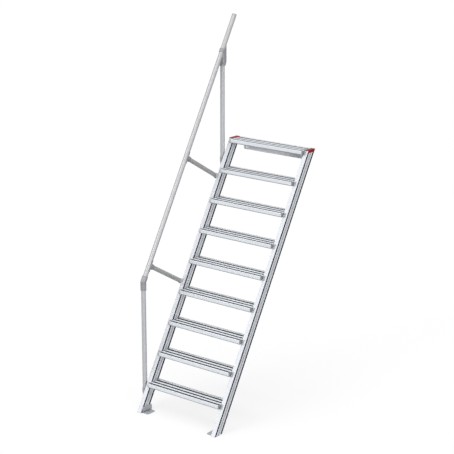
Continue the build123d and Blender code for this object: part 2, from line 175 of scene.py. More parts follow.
class StairColours(bpy.types.PropertyGroup):
    """Colours of the stair's finishes."""

    stile: colour_setting("Stiles", (0.665, 0.69, 0.73), "Satin extruded aluminium of the two stiles")
    tread: colour_setting("Treads", (0.83, 0.865, 0.91), "Satin extruded aluminium of the treads")
    tab: colour_setting("Tread brackets", (0.36, 0.37, 0.39), "Dull end plates and tabs of the treads")
    bracket: colour_setting(
        "Brackets",
        (0.455, 0.475, 0.505),
        "Mill finish of the feet and the rail brackets",
    )
    # The fixing rail's mill colour, painted far paler than the other mill parts as light against the top
    # tread's shadow
    fixing_rail: colour_setting(
        "Fixing rail",
        (0.95, 0.96, 0.98),
        "Mill finish of the bar behind the top tread",
    )
    tube: colour_setting("Handrail", (0.44, 0.44, 0.45), "Bright drawn tube of the handrail")
    post: colour_setting("Posts", (0.51, 0.52, 0.54), "Drawn tube of the two posts")
    strut: colour_setting("Struts", (0.42, 0.42, 0.42), "Duller drawn tube of the two struts")
    connector: colour_setting(
        "Connectors",
        (0.33, 0.33, 0.35),
        "Blasted cast aluminium of the tube connectors",
    )
    cap: colour_setting("Stile caps", (0.27, 0.006, 0.006), "Red moulded plastic of the stile caps")
    plug: colour_setting("Tube plugs", (0.22, 0.22, 0.23), "Grey moulded plastic of the tube plugs")
    screw: colour_setting("Screws", (0.50, 0.51, 0.53), "Zinc plated steel of the screws and bolts")


class StairHardware(bpy.types.PropertyGroup):
    """Sizes of the stair's fasteners and beads."""

    screw_radius: length_setting(
        "Screw head radius",
        0.0052,
        0.002,
        0.01,
        "Radius of the button heads on tabs and brackets",
    )
    screw_height: length_setting("Screw head height", 0.0033, 0.001, 0.006, "Height of the button heads")
    grub_radius: length_setting(
        "Grub screw radius",
        0.0034,
        0.002,
        0.006,
        "Radius of the set screws in the connectors",
    )
    bolt_radius: length_setting(
        "Bolt head radius",
        0.0092,
        0.005,
        0.012,
        "Radius to the corners of the hexagon heads at the feet",
    )
    bolt_height: length_setting("Bolt head height", 0.0064, 0.003, 0.01, "Height of the hexagon heads")
    rim_radius: length_setting(
        "Rim radius",
        0.0018,
        0.0005,
        0.004,
        "Half the thickness of the rims at the connector ends",
    )
    weld_radius: length_setting(
        "Weld radius",
        0.0026,
        0.001,
        0.005,
        "Half the width of the weld stitches at the fixing rail",
    )


class StairStage(bpy.types.PropertyGroup):
    """Light and floor around the stair."""

    world_level: light_setting("Room light", 0.42, 2.0, "Even light from all round")
    key_level: light_setting(
        "Main light",
        0.3,
        3.0,
        "Soft light from the front and above, as a share of plain white light",
    )
    low_level: light_setting(
        "Low light",
        0.5,
        3.0,
        "Soft light from the front right, near the floor, as a share of plain white light",
    )
    top_level: light_setting(
        "Top light",
        0.44,
        3.0,
        "Soft light from above, as a share of plain white light",
    )
    floor_size: length_setting("Floor size", 400.0, 5.0, 1000.0, "Length of the side of the floor")


# Nodes

def add_node(tree, kind, inputs=None, **settings):
    """Node with its settings; each input is given a value, or a socket to link."""
    node = tree.nodes.new(kind)
    for label, value in settings.items():
        setattr(node, label, value)
    for label, value in (inputs or {}).items():
        if isinstance(value, bpy.types.NodeSocket):
            tree.links.new(value, node.inputs[label])
        else:
            node.inputs[label].default_value = value
    return node


def math_node(tree, operation, first, second=0.0):
    """Result of one calculation; first and second are numbers or sockets."""
    node = add_node(tree, "ShaderNodeMath", {0: first, 1: second}, operation=operation)
    return node.outputs[0]


def times(tree, value, share):
    """A value times a share."""
    return math_node(tree, "MULTIPLY", value, share)


def range_node(tree, value, span, low=0.0, high=1.0):
    """Value moved from a span to the range from low to high, and held there."""
    inputs = {"Value": value, "From Min": span[0], "From Max": span[1], "To Min": low, "To Max": high}
    return add_node(tree, "ShaderNodeMapRange", inputs, clamp=True).outputs["Result"]


def object_place(tree):
    """The point on the object, in metres."""
    return add_node(tree, "ShaderNodeTexCoord").outputs["Object"]


def split(tree, vector):
    """X, Y and Z of a vector."""
    return add_node(tree, "ShaderNodeSeparateXYZ", {"Vector": vector}).outputs


def noise(tree, place, scale, detail, distortion=0.0):
    """Cloudy pattern of this scale."""
    inputs = {"Vector": place, "Scale": scale, "Detail": detail, "Distortion": distortion}
    return add_node(tree, "ShaderNodeTexNoise", inputs).outputs["Fac"]


def mix_colour(tree, share, first, second):
    """Colour between two colours; the node's inputs 6 and 7 and its output 2 are the colour ones."""
    inputs = {"Factor": share, 6: first, 7: second}
    node = add_node(tree, "ShaderNodeMix", inputs, data_type="RGBA", clamp_factor=True)
    return node.outputs[2]


# Shader node groups

# Spans of a pattern or an angle that a mask spreads from 0 to 1
SOFT_CONTRAST = (0.3, 0.7)
MARK_CONTRAST = (0.58, 0.7)
EDGE_BEND = (0.02, 0.16)
EDGE_CONTRAST = (0.35, 0.6)

# Least wear of an edge, and scale of the broad streaks as a share of the fine lines' scale
EDGE_LEAST = 0.25
BROAD_SHARE = 0.12

# Spans of depth or height in metres over which painted shade sets in; the margin keeps the top face of a
# tread on its own step
LEVEL_MARGIN = 0.001
GROOVE_DEPTHS = (LEVEL_MARGIN + 0.0012, LEVEL_MARGIN + 0.0026)
TEETH_DEPTHS = (LEVEL_MARGIN + 0.0002, LEVEL_MARGIN + 0.0008)
UNDER_HEIGHTS = (0.009, 0.005)
SLOT_DEPTHS = (0.0004, 0.0012)


def new_shader_group(name, inputs, outputs):
    """Shader node group with named inputs and outputs; gives it and its inputs."""
    group = bpy.data.node_groups.new(name, "ShaderNodeTree")
    for label, value in inputs.items():
        kind = "NodeSocketVector" if isinstance(value, tuple) else "NodeSocketFloat"
        socket = group.interface.new_socket(name=label, in_out="INPUT", socket_type=kind)
        socket.default_value = value
    for label in outputs:
        kind = "NodeSocketVector" if label == "Normal" else "NodeSocketFloat"
        group.interface.new_socket(name=label, in_out="OUTPUT", socket_type=kind)
    return group, add_node(group, "NodeGroupInput").outputs


def make_grain_group():
    """Fine lines left by drawing or extruding, which run along the group's own Y."""
    group, given = new_shader_group(
        "drawn_grain",
        {"Turn": (0.0, 0.0, 0.0), "Lines": 900.0, "Stretch": 0.01},
        ["Grain", "Streaks"],
    )
    inputs = {"Vector": object_place(group), "Rotation": given["Turn"]}
    turned = add_node(group, "ShaderNodeMapping", inputs, vector_type="POINT")
    parts = split(group, turned.outputs["Vector"])
    short = times(group, parts["Y"], given["Stretch"])
    joined = add_node(group, "ShaderNodeCombineXYZ", {"X": parts["X"], "Y": short, "Z": parts["Z"]})
    fine = noise(group, joined.outputs["Vector"], given["Lines"], detail=3.0)
    wide = times(group, given["Lines"], BROAD_SHARE)
    broad = noise(group, joined.outputs["Vector"], wide, detail=2.0)
    add_node(group, "NodeGroupOutput", {"Grain": fine, "Streaks": broad})
    return group


def make_edge_group():
    """Mask of the worn outer edges, and a normal that rounds them."""
    group, given = new_shader_group("edge_wear", {"Radius": 0.001, "Breakup": 160.0}, ["Wear", "Normal"])
    rounded = add_node(group, "ShaderNodeBevel", {"Radius": given["Radius"]}, samples=4).outputs["Normal"]
    flat = add_node(group, "ShaderNodeNewGeometry").outputs["Normal"]
    compare = add_node(group, "ShaderNodeVectorMath", {0: rounded, 1: flat}, operation="DOT_PRODUCT")
    bend = math_node(group, "SUBTRACT", 1.0, compare.outputs["Value"])
    mask = range_node(group, bend, EDGE_BEND)
    speckle = noise(group, object_place(group), given["Breakup"], detail=3.0)
    broken = range_node(group, speckle, EDGE_CONTRAST, EDGE_LEAST)
    worn = times(group, mask, broken)
    add_node(group, "NodeGroupOutput", {"Wear": worn, "Normal": rounded})
    return group


def make_crevice_group():
    """Mask of the painted shade in grooves and corners, where the nearby shape hides the room around a
    point.
    """
    group, given = new_shader_group(
        "crevice_dirt",
        {"Distance": 0.012, "Open": 0.75, "Closed": 0.25},
        ["Dirt"],
    )
    # Painted shade: ambient occlusion darkens grooves and corners
    inputs = {"Distance": given["Distance"]}
    shade = add_node(group, "ShaderNodeAmbientOcclusion", inputs, samples=6, only_local=True)
    dirt = range_node(group, shade.outputs["AO"], (given["Open"], given["Closed"]))
    add_node(group, "NodeGroupOutput", {"Dirt": dirt})
    return group


def make_marks_group():
    """Faint cloudy patches and small rubbed marks of use."""
    group, given = new_shader_group(
        "use_marks",
        {"Patch Scale": 7.0, "Mark Scale": 90.0},
        ["Patches", "Marks"],
    )
    place = object_place(group)
    patches = noise(group, place, given["Patch Scale"], detail=4.0)
    marks = noise(group, place, given["Mark Scale"], detail=6.0, distortion=0.6)
    even = range_node(group, patches, SOFT_CONTRAST)
    sharp = range_node(group, marks, MARK_CONTRAST)
    add_node(group, "NodeGroupOutput", {"Patches": even, "Marks": sharp})
    return group


def make_depth_group():
    """Masks of the grooves and rear teeth of every tread, where shade is painted, and of its lower edges,
    which are painted darker as shade.
    """
    group, given = new_shader_group(
        "tread_depth",
        {
            "First Top": 0.0,
            "First Front": 0.0,
            "Rise": 0.25,
            "Going": 0.147,
            "Teeth From": 0.126,
            "Height": 0.036,
        },
        ["Deep", "Under"],
    )
    parts = split(group, object_place(group))
    below = math_node(group, "SUBTRACT", given["First Top"], parts["Z"])
    below = math_node(group, "ADD", below, LEVEL_MARGIN)
    steps = math_node(group, "DIVIDE", below, given["Rise"])
    depth = times(group, math_node(group, "FRACT", steps), given["Rise"])
    start = times(group, math_node(group, "FLOOR", steps), given["Going"])
    back = math_node(group, "SUBTRACT", parts["Y"], given["First Front"])
    back = math_node(group, "ADD", back, start)
    rear = math_node(group, "GREATER_THAN", back, given["Teeth From"])
    grooves = range_node(group, depth, GROOVE_DEPTHS)
    teeth = times(group, range_node(group, depth, TEETH_DEPTHS), rear)
    deep = math_node(group, "MAXIMUM", grooves, teeth)
    above = math_node(group, "SUBTRACT", given["Height"], depth)
    under_shade = range_node(group, above, UNDER_HEIGHTS)
    add_node(group, "NodeGroupOutput", {"Deep": deep, "Under": under_shade})
    return group


def make_slot_group():
    """Mask of everything that lies deeper in a stile than its two side faces, which keeps the painted
    shade in the slots.
    """
    group, given = new_shader_group("stile_slots", {"Inner": 0.396, "Outer": 0.436}, ["Deep"])
    side = math_node(group, "ABSOLUTE", split(group, object_place(group))["X"])
    from_inner = math_node(group, "SUBTRACT", side, given["Inner"])
    from_outer = math_node(group, "SUBTRACT", given["Outer"], side)
    nearest = math_node(group, "MINIMUM", from_inner, from_outer)
    deep = range_node(group, nearest, SLOT_DEPTHS)
    add_node(group, "NodeGroupOutput", {"Deep": deep})
    return group


GROUP_MAKERS = {
    "drawn_grain": make_grain_group,
    "edge_wear": make_edge_group,
    "crevice_dirt": make_crevice_group,
    "use_marks": make_marks_group,
    "tread_depth": make_depth_group,
    "stile_slots": make_slot_group,
}


def place_group(tree, name, values):
    """The named group in a material, with its own values; gives its outputs."""
    group = bpy.data.node_groups.get(name) or GROUP_MAKERS[name]()
    return add_node(tree, "ShaderNodeGroup", values, node_tree=group).outputs


# Materials

# Tints, as shares of a finish's colour
STREAK_DARK = 0.965
STREAK_PALE = 1.03
PATCH_TINT = 0.86
RUBBED_TINT = 0.78
WORN_METAL_TINT = 1.2
# Painted shade on the lower edges of the treads
UNDER_EDGE_PAINTED_SHADE = 0.3
CAST_PALE = 1.06
CAST_DARK = 0.92
SPECK_TINT = 0.8
WORN_CAST_TINT = 1.45
# Painted shade in the corners of cast and moulded parts
CAST_CORNER_PAINTED_SHADE = 0.4

# Strength of the painted shade on the tread's lower edges, and of the cast specks
UNDER_EDGE_SHADE_SHARE = 0.85
SPECK_SHARE = 0.35
SPECK_CONTRAST = (0.35, 0.65)
CAST_PATCH_SCALE = 22.0

# Changes of roughness, and heights of the bumps in metres
GRAIN_CONTRAST = (0.25, 0.75)
METAL_SMOOTHER = 0.06
METAL_ROUGHER = 0.08
# Extra roughness where shade is painted into grooves and corners
ROUGHER_IN_PAINTED_SHADE = 0.3
METAL_WEAR_SMOOTHER = 0.12
CAST_SMOOTHER = 0.08
CAST_ROUGHER = 0.1
CAST_WEAR_SMOOTHER = 0.15
GRAIN_HEIGHT = 0.0004
PEBBLE_HEIGHT = 0.0005


def scaled(colour, share):
    """Colour made lighter or darker."""
    return tuple(min(1.0, part * share) for part in colour) + (1.0,)


def empty_material(name):
    """Material without nodes, and its tree."""
    material = bpy.data.materials.new(name)
    material.use_nodes = True
    material.node_tree.nodes.clear()
    return material, material.node_tree


def wear_and_painted_shade(tree, look):
    """Shares of wear and of the painted shade in grooves and corners, and the normal that rounds the
    edges.
    """
    edge = place_group(tree, "edge_wear", {"Radius": look["edge"]})
    reach = {"Distance": look["groove"], "Open": look["open"], "Closed": look["closed"]}
    crevice = place_group(tree, "crevice_dirt", reach)
    worn = times(tree, edge["Wear"], look["wear"])
    # Painted shade in grooves and corners, scaled by the finish's share
    dirt = times(tree, crevice["Dirt"], look["dirt"])
    return worn, dirt, edge["Normal"]


def end_material(tree, look, body, rough, relief, height, rounded):
    """Surface with this colour and roughness, and with a relief over the rounded edges."""
    inputs = {"Strength": look["bump"], "Distance": height, "Height": relief, "Normal": rounded}
    bump = add_node(tree, "ShaderNodeBump", inputs)
    shader = add_node(
        tree,
        "ShaderNodeBsdfPrincipled",
        {
            "Base Color": body,
            "Roughness": rough,
            "Metallic": look["metal"],
            "Specular IOR Level": look["gloss"],
            "Normal": bump.outputs["Normal"],
        },
    )
    add_node(tree, "ShaderNodeOutputMaterial", {"Surface": shader.outputs["BSDF"]})


def metal_finish(name, colour, look, turn):
    """Drawn or extruded metal with grain, patches, rough grooves painted dark as shade, and worn edges."""
    material, tree = empty_material(name)
    lines = {"Turn": turn, "Lines": look["lines"], "Stretch": look["stretch"]}
    grain = place_group(tree, "drawn_grain", lines)
    marks = place_group(tree, "use_marks", {})
    worn, dirt, rounded = wear_and_painted_shade(tree, look)
    streaks = range_node(tree, grain["Streaks"], SOFT_CONTRAST)
    patches = times(tree, marks["Patches"], look["patches"])
    rubbed = times(tree, marks["Marks"], look["marks"])
    body = mix_colour(tree, streaks, scaled(colour, STREAK_DARK), scaled(colour, STREAK_PALE))
    body = mix_colour(tree, patches, body, scaled(colour, PATCH_TINT))
    body = mix_colour(tree, rubbed, body, scaled(colour, RUBBED_TINT))
    body = mix_colour(tree, worn, body, scaled(colour, WORN_METAL_TINT))
    # The painted shade is kept to the stile slots and to the tread grooves and teeth
    if look["deep"] == "slots":
        slots = place_group(tree, "stile_slots", {"Inner": INNER_FACE, "Outer": OUTER_FACE})
        dirt = times(tree, dirt, slots["Deep"])
    if look["deep"] == "grooves":
        depth = place_group(
            tree,
            "tread_depth",
            {
                "First Top": FIRST_TREAD[1].z,
                "First Front": FIRST_TREAD[0].y,
                "Rise": RISE,
                "Going": GOING,
                "Teeth From": REAR_BAND,
                "Height": TREAD_HEIGHT,
            },
        )
        # The treads' lower edges painted darker as shade
        under_shade = times(tree, depth["Under"], UNDER_EDGE_SHADE_SHARE)
        body = mix_colour(tree, under_shade, body, scaled(colour, UNDER_EDGE_PAINTED_SHADE))
        dirt = times(tree, dirt, depth["Deep"])
    # Painted shade: grooves, slots and corners darkened towards the finish's groove shade
    body = mix_colour(tree, dirt, body, scaled(colour, look["groove_shade"]))
    smooth = look["rough"] - METAL_SMOOTHER
    dull = look["rough"] + METAL_ROUGHER
    rough = range_node(tree, grain["Grain"], GRAIN_CONTRAST, smooth, dull)
    rough = math_node(tree, "ADD", rough, times(tree, dirt, ROUGHER_IN_PAINTED_SHADE))
    rough = math_node(tree, "SUBTRACT", rough, times(tree, worn, METAL_WEAR_SMOOTHER))
    end_material(tree, look, body, rough, grain["Grain"], GRAIN_HEIGHT, rounded)
    return material


def cast_finish(name, colour, look):
    """Cast metal or moulded plastic with a pebbled surface and polished edges."""
    material, tree = empty_material(name)
    marks = place_group(tree, "use_marks", {"Patch Scale": CAST_PATCH_SCALE})
    worn, dirt, rounded = wear_and_painted_shade(tree, look)
    pebble = noise(tree, object_place(tree), look["pebble"], detail=4.0)
    speck = range_node(tree, pebble, SPECK_CONTRAST, 0.0, SPECK_SHARE)
    body = mix_colour(tree, marks["Patches"], scaled(colour, CAST_PALE), scaled(colour, CAST_DARK))
    body = mix_colour(tree, speck, body, scaled(colour, SPECK_TINT))
    body = mix_colour(tree, worn, body, scaled(colour, WORN_CAST_TINT))
    # Painted shade: corners darkened by the ambient occlusion mask
    body = mix_colour(tree, dirt, body, scaled(colour, CAST_CORNER_PAINTED_SHADE))
    smooth = look["rough"] - CAST_SMOOTHER
    dull = look["rough"] + CAST_ROUGHER
    rough = range_node(tree, pebble, SOFT_CONTRAST, smooth, dull)
    rough = math_node(tree, "SUBTRACT", rough, times(tree, worn, CAST_WEAR_SMOOTHER))
    end_material(tree, look, body, rough, pebble, PEBBLE_HEIGHT, rounded)
    return material


# Looks of the finishes: lines and pebbles per metre, the radius of an edge and the reach of a groove's
# painted shade in metres, and the rest as shares, among them the strength of that painted shade
STILE_LOOK = {
    "lines": 700.0,
    "stretch": 0.006,
    "edge": 0.0009,
    "groove": 0.03,
    "open": 0.99,
    "closed": 0.93,
    "deep": "slots",
    "patches": 0.12,
    "marks": 0.1,
    "wear": 0.5,
    "dirt": 1.0,
    "groove_shade": 0.025,
    "rough": 0.42,
    "metal": 0.35,
    "bump": 0.18,
    "gloss": 0.5,
}
TREAD_LOOK = dict(
    STILE_LOOK,
    open=0.95,
    closed=0.8,
    deep="grooves",
    patches=0.1,
    wear=0.6,
    groove_shade=0.04,
    metal=0.2,
)
PLAIN_LOOK = dict(STILE_LOOK, open=0.82, closed=0.68, deep=None, groove_shade=0.4)
BRACKET_LOOK = dict(
    PLAIN_LOOK,
    lines=500.0,
    stretch=0.02,
    patches=0.25,
    wear=0.6,
    dirt=0.6,
    rough=0.5,
    metal=0.2,
)
FIXING_LOOK = dict(BRACKET_LOOK, patches=0.35, metal=0.1)
TUBE_LOOK = dict(
    PLAIN_LOOK,
    lines=520.0,
    stretch=0.01,
    edge=0.0008,
    dirt=0.5,
    rough=0.45,
    metal=0.5,
)
POST_LOOK = dict(TUBE_LOOK, rough=0.5, metal=0.3)
SCREW_LOOK = {
    "edge": 0.0005,
    "groove": 0.003,
    "open": 0.75,
    "closed": 0.25,
    "pebble": 1400.0,
    "wear": 0.7,
    "dirt": 0.8,
    "rough": 0.38,
    "metal": 0.7,
    "bump": 0.12,
    "gloss": 0.5,
}
CAST_LOOK = dict(
    SCREW_LOOK,
    edge=0.0014,
    groove=0.02,
    open=0.95,
    closed=0.6,
    pebble=700.0,
    wear=0.55,
    dirt=0.7,
    rough=0.52,
    metal=0.3,
    bump=0.35,
)
PLASTIC_LOOK = dict(
    CAST_LOOK,
    groove=0.008,
    open=0.75,
    closed=0.25,
    pebble=900.0,
    wear=0.25,
    rough=0.42,
    metal=0.0,
    bump=0.12,
    gloss=0.12,
)

# Turns that lay the grain along a piece
STILE_TURN = (-SLOPE, 0.0, 0.0)
ACROSS_TURN = (math.pi / 2 - SLOPE, 0.0, 0.0)
UPRIGHT_TURN = (-math.pi / 2, 0.0, 0.0)
SIDEWAYS_TURN = (0.0, 0.0, math.pi / 2)

# Finishes: the colour setting, the look and, for drawn metal, the turn
METAL_FINISHES = {
    "stile_satin": ("stile", STILE_LOOK, STILE_TURN),
    "tread_satin": ("tread", TREAD_LOOK, SIDEWAYS_TURN),
    "tab_dull": ("tab", BRACKET_LOOK, STILE_TURN),
    "bracket_mill": ("bracket", BRACKET_LOOK, SIDEWAYS_TURN),
    # This colour holds painted light against the top tread's shadow
    "fixing_rail_mill": ("fixing_rail", FIXING_LOOK, SIDEWAYS_TURN),
    "rail_tube_satin": ("tube", TUBE_LOOK, STILE_TURN),
    "post_tube_satin": ("post", POST_LOOK, UPRIGHT_TURN),
    "strut_tube_dull": ("strut", POST_LOOK, ACROSS_TURN),
}
CAST_FINISHES = {
    "connector_cast": ("connector", CAST_LOOK),
    "cap_red_plastic": ("cap", PLASTIC_LOOK),
    "plug_grey_plastic": ("plug", PLASTIC_LOOK),
    "screw_zinc": ("screw", SCREW_LOOK),
}


def finish(name):
    """The named finish, made when it is first asked for."""
    known = bpy.data.materials.get(name)
    if known:
        return known
    colours = bpy.context.scene.stair_colours
    if name in METAL_FINISHES:
        setting, look, turn = METAL_FINISHES[name]
        return metal_finish(name, getattr(colours, setting), look, turn)
    setting, look = CAST_FINISHES[name]
    return cast_finish(name, getattr(colours, setting), look)


def dress(nodes, finish_name):
    """Gives these nodes a finish."""
    material = finish(finish_name)
    for name in nodes:
        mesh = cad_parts[name].data
        mesh.materials.clear()
        mesh.materials.append(material)


# Geometry Nodes

# Corners of the round and six-sided shapes
HEXAGON = 6
HEAD_CORNERS = 20
WASHER_CORNERS = 28
RIM_STEPS = 56
BEAD_CORNERS = 10

# Heads of the screws and bolts, as shares of their radius or height
KEY_RADIUS = 0.5
KEY_FLOOR = 0.3
BUTTON_WALL = 0.45
BUTTON_TOP = 0.74
WASHER_RADIUS = 1.15
WASHER_THICKNESS = 0.3
BOLT_WALL = 0.8
BOLT_TOP = 0.84

# Weld: step along it in metres, scale of its unevenness, and shares of its width
WELD_STEP = 0.001
WELD_NOISE = 260.0
RIPPLE_WIDTHS = (1.0, 0.8)
UNEVEN_WIDTHS = (0.9, 1.1)


def new_shape_tree(name, sizes):
    """Geometry Nodes tree with a geometry, named sizes, a seed and a finish; gives it and its inputs."""
    tree = bpy.data.node_groups.new(name, "GeometryNodeTree")
    tree.interface.new_socket(name="Geometry", in_out="INPUT", socket_type="NodeSocketGeometry")
    for label, value in sizes.items():
        socket = tree.interface.new_socket(name=label, in_out="INPUT", socket_type="NodeSocketFloat")
        socket.default_value = value
        socket.subtype = "DISTANCE"
    seed = tree.interface.new_socket(name="Seed", in_out="INPUT", socket_type="NodeSocketInt")
    seed.default_value = SEED
    tree.interface.new_socket(name="Finish", in_out="INPUT", socket_type="NodeSocketMaterial")
    tree.interface.new_socket(name="Geometry", in_out="OUTPUT", socket_type="NodeSocketGeometry")
    return tree, add_node(tree, "NodeGroupInput").outputs


def curve_circle(tree, corners, radius):
    """Circle, or a regular outline with few corners, as a curve."""
    inputs = {"Resolution": corners, "Radius": radius}
    return add_node(tree, "GeometryNodeCurvePrimitiveCircle", inputs).outputs["Curve"]


def flat_hexagon(tree, radius):
    """Hexagon as one flat face."""
    inputs = {"Vertices": HEXAGON, "Radius": radius}
    return add_node(tree, "GeometryNodeMeshCircle", inputs, fill_type="NGON").outputs["Mesh"]


def join(tree, *parts):
    """The parts as one geometry."""
    node = add_node(tree, "GeometryNodeJoinGeometry")
    for part in parts:
        tree.links.new(part, node.inputs["Geometry"])
    return node.outputs["Geometry"]


def raise_faces(tree, mesh, height, faces=True):
    """Chosen faces of a mesh raised by a height; gives the outputs."""
    inputs = {
        "Mesh": mesh,
        "Selection": faces,
        "Offset": tuple(UP),
        "Offset Scale": height,
        "Individual": False,
    }
    return add_node(tree, "GeometryNodeExtrudeMesh", inputs, mode="FACES").outputs


def head(tree, face, height, wall_share, top_share):
    """Head raised from a flat face: an upright wall, then a bevel that draws the top in."""
    side = raise_faces(tree, face, times(tree, height, wall_share))
    bevel = times(tree, height, 1.0 - wall_share)
    crown = raise_faces(tree, side["Mesh"], bevel, side["Top"])
    inputs = {"Geometry": crown["Mesh"], "Selection": crown["Top"], "Scale": top_share}
    return add_node(tree, "GeometryNodeScaleElements", inputs, domain="FACE").outputs["Geometry"]


def lift(tree, geometry, height):
    """Geometry moved up by a height."""
    move = add_node(tree, "ShaderNodeCombineXYZ", {"Z": height})
    inputs = {"Geometry": geometry, "Translation": move.outputs["Vector"]}
    return add_node(tree, "GeometryNodeTransform", inputs).outputs["Geometry"]


def end_tree(tree, given, shape):
    """Realizes the shape, gives it its finish and ends the tree."""
    real = add_node(tree, "GeometryNodeRealizeInstances", {"Geometry": shape})
    dressed = add_node(
        tree,
        "GeometryNodeSetMaterial",
        {"Geometry": real.outputs["Geometry"], "Material": given["Finish"]},
    )
    add_node(tree, "NodeGroupOutput", {"Geometry": dressed.outputs["Geometry"]})


def end_on_points(tree, given, shape):
    """Puts the shape on every point, turned to the point's facing, and ends the tree."""
    named = add_node(tree, "GeometryNodeInputNamedAttribute", {"Name": "facing"}, data_type="FLOAT_VECTOR")
    facing = named.outputs["Attribute"]
    align = add_node(tree, "FunctionNodeAlignRotationToVector", {"Vector": facing}, axis="Z")
    # The random node's inputs 2 and 3 and its output 1 are those of a plain number
    inputs = {2: 0.0, 3: math.tau, "Seed": given["Seed"]}
    spin = add_node(tree, "FunctionNodeRandomValue", inputs, data_type="FLOAT")
    turn = add_node(tree, "ShaderNodeCombineXYZ", {"Z": spin.outputs[1]})
    inputs = {"Rotation": align.outputs["Rotation"], "Rotate By": turn.outputs["Vector"]}
    rotate = add_node(tree, "FunctionNodeRotateRotation", inputs, rotation_space="LOCAL")
    inputs = {"Points": given["Geometry"], "Instance": shape, "Rotation": rotate.outputs["Rotation"]}
    place = add_node(tree, "GeometryNodeInstanceOnPoints", inputs)
    end_tree(tree, given, place.outputs["Instances"])


def socket_head_tree():
    """Button head with a hexagon socket."""
    tree, given = new_shape_tree("socket_head_screws", {"Head Radius": 0.005, "Head Height": 0.003})
    height = given["Head Height"]
    key = times(tree, given["Head Radius"], KEY_RADIUS)
    inner = curve_circle(tree, HEXAGON, key)
    outer = curve_circle(tree, HEAD_CORNERS, given["Head Radius"])
    ring = add_node(tree, "GeometryNodeFillCurve", {"Curve": join(tree, inner, outer)})
    button = head(tree, ring.outputs["Mesh"], height, BUTTON_WALL, BUTTON_TOP)
    socket_floor = lift(tree, flat_hexagon(tree, key), times(tree, height, KEY_FLOOR))
    end_on_points(tree, given, join(tree, socket_floor, button))
    return tree


def hexagon_bolt_tree():
    """Hexagon head on a round washer."""
    tree, given = new_shape_tree("hexagon_bolts", {"Head Radius": 0.009, "Head Height": 0.006})
    radius = given["Head Radius"]
    thickness = times(tree, given["Head Height"], WASHER_THICKNESS)
    wide = times(tree, radius, WASHER_RADIUS)
    inputs = {"Vertices": WASHER_CORNERS, "Radius": wide, "Depth": thickness}
    washer = add_node(tree, "GeometryNodeMeshCylinder", inputs, fill_type="NGON")
    washer_up = lift(tree, washer.outputs["Mesh"], times(tree, thickness, 0.5))
    bolt = head(tree, flat_hexagon(tree, radius), given["Head Height"], BOLT_WALL, BOLT_TOP)
    end_on_points(tree, given, join(tree, lift(tree, bolt, thickness), washer_up))
    return tree


def rim_tree():
    """Rounded rim around the end of a connector."""
    tree, given = new_shape_tree("connector_rims", {"Ring Radius": 0.0255, "Rim Radius": 0.0018})
    path = curve_circle(tree, RIM_STEPS, given["Ring Radius"])
    section = curve_circle(tree, BEAD_CORNERS, given["Rim Radius"])
    body = add_node(tree, "GeometryNodeCurveToMesh", {"Curve": path, "Profile Curve": section})
    smooth = add_node(tree, "GeometryNodeSetShadeSmooth", {"Geometry": body.outputs["Mesh"]})
    end_on_points(tree, given, smooth.outputs["Geometry"])
    return tree


def weld_tree():
    """Weld stitches with overlapping ripples along every edge of the input."""
    tree, given = new_shape_tree("weld_stitches", {"Weld Radius": 0.0026, "Ripple Length": 0.004})
    path = add_node(tree, "GeometryNodeMeshToCurve", {"Mesh": given["Geometry"]})
    inputs = {"Curve": path.outputs["Curve"], "Length": WELD_STEP}
    fine = add_node(tree, "GeometryNodeResampleCurve", inputs, mode="LENGTH")
    along = add_node(tree, "GeometryNodeSplineParameter").outputs["Length"]
    ripple = math_node(tree, "FRACT", math_node(tree, "DIVIDE", along, given["Ripple Length"]))
    swell = range_node(tree, ripple, (0.0, 1.0), *RIPPLE_WIDTHS)
    jitter = add_node(tree, "ShaderNodeTexNoise", {"Scale": WELD_NOISE}).outputs["Fac"]
    uneven = range_node(tree, jitter, SOFT_CONTRAST, *UNEVEN_WIDTHS)
    thick = times(tree, times(tree, swell, uneven), given["Weld Radius"])
    inputs = {"Curve": fine.outputs["Curve"], "Radius": thick}
    sized = add_node(tree, "GeometryNodeSetCurveRadius", inputs)
    radius = add_node(tree, "GeometryNodeInputRadius")
    body = add_node(
        tree,
        "GeometryNodeCurveToMesh",
        {
            "Curve": sized.outputs["Curve"],
            "Profile Curve": curve_circle(tree, BEAD_CORNERS, 1.0),
            "Scale": radius.outputs["Radius"],
            "Fill Caps": True,
        },
    )
    end_tree(tree, given, body.outputs["Mesh"])
    return tree


TREE_MAKERS = {
    "socket_head_screws": socket_head_tree,
    "hexagon_bolts": hexagon_bolt_tree,
    "connector_rims": rim_tree,
    "weld_stitches": weld_tree,
}


